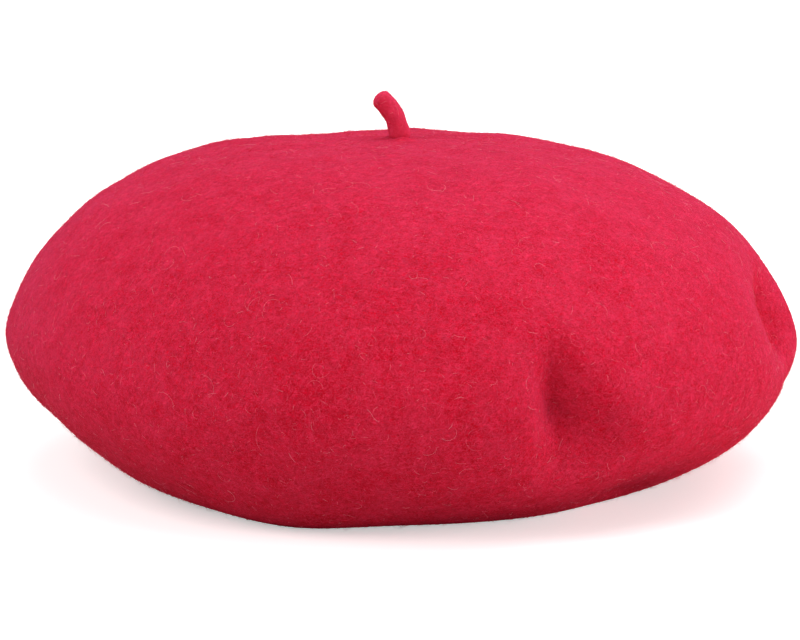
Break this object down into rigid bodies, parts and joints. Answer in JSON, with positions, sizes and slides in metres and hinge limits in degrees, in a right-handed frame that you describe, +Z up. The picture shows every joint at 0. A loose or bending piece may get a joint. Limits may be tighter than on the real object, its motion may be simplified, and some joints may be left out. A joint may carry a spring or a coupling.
{
  "type": "beret",
  "caption": "Round puffed wool-felt beret with a short leaning stalk, a satin lining, and a leather sweatband with a drawcord round the head opening.",
  "frame": {"origin": "centre of the head opening, on the plane that the beret rests on", "axes": "+Z up through the crown, -Y to the front, +Y to the back where the cord's bow is, +X to the wearer's left when the front faces -Y"},
  "size_m": [0.282, 0.282, 0.1332],
  "materials": {
    "felt": "fulled wool felt, short nap",
    "leather": "smooth grained leather",
    "satin": "satin weave lining",
    "cord": "braided cord",
    "label_tape": "woven tape, blank",
    "red_thread": "wool thread",
    "black_thread": "sewing thread"
  },
  "bodies": {
    "headband": {"felt_body": "felt", "sweatband": "leather", "band_join_stitches": "black_thread", "hem_stitches": "black_thread", "drawcord": "cord", "lining_side": "satin", "lining_stitches": "black_thread", "size_label_stitches": "black_thread", "care_label_stitches": "black_thread"},
    "crown": {"lining_tip": "satin", "tip_seam_stitches": "black_thread", "tip_label": "label_tape", "tip_label_stitches": "black_thread", "stalk_tack": "red_thread"},
    "stalk_pivot": {"stalk_knot": "red_thread"},
    "stalk_body": {"stalk": "felt"},
    "bow": {"drawcord_bow": "cord"},
    "size_tab": {"size_label": "label_tape"},
    "care_tab": {"care_label": "label_tape"}
  },
  "joints": [
    {"name": "crown_press", "type": "slide", "parent": "headband", "child": "crown", "axis": [0, 0, -1], "range_m": [0, 0.068], "stiffness_N_per_m": 30, "springref_m": -0.01, "deforming": ["felt_body"]},
    {"name": "stalk_nod", "type": "hinge", "parent": "crown", "child": "stalk_pivot", "pos_m": [0, 0, 0.1194], "axis": [1, 0, 0], "range_deg": [-30, 30], "stiffness_Nm_per_rad": 0.001},
    {"name": "stalk_sway", "type": "hinge", "parent": "stalk_pivot", "child": "stalk_body", "pos_m": [0, 0, 0.1194], "axis": [0, 1, 0], "range_deg": [-30, 30], "stiffness_Nm_per_rad": 0.001},
    {"name": "bow_swing", "type": "hinge", "parent": "headband", "child": "bow", "pos_m": [0, 0.0901, 0.0229], "axis": [1, 0, 0], "range_deg": [-85, 90], "stiffness_Nm_per_rad": 0.00002},
    {"name": "size_label_flip", "type": "hinge", "parent": "headband", "child": "size_tab", "pos_m": [-0.02533, 0.08834, 0.02135], "axis": [0.9613, 0.2756, 0], "range_deg": [-75, 90], "stiffness_Nm_per_rad": 0.000005},
    {"name": "care_label_flip", "type": "hinge", "parent": "headband", "child": "care_tab", "pos_m": [0.02533, 0.08834, 0.02135], "axis": [0.9613, -0.2756, 0], "range_deg": [-75, 90], "stiffness_Nm_per_rad": 0.000005}
  ]
}
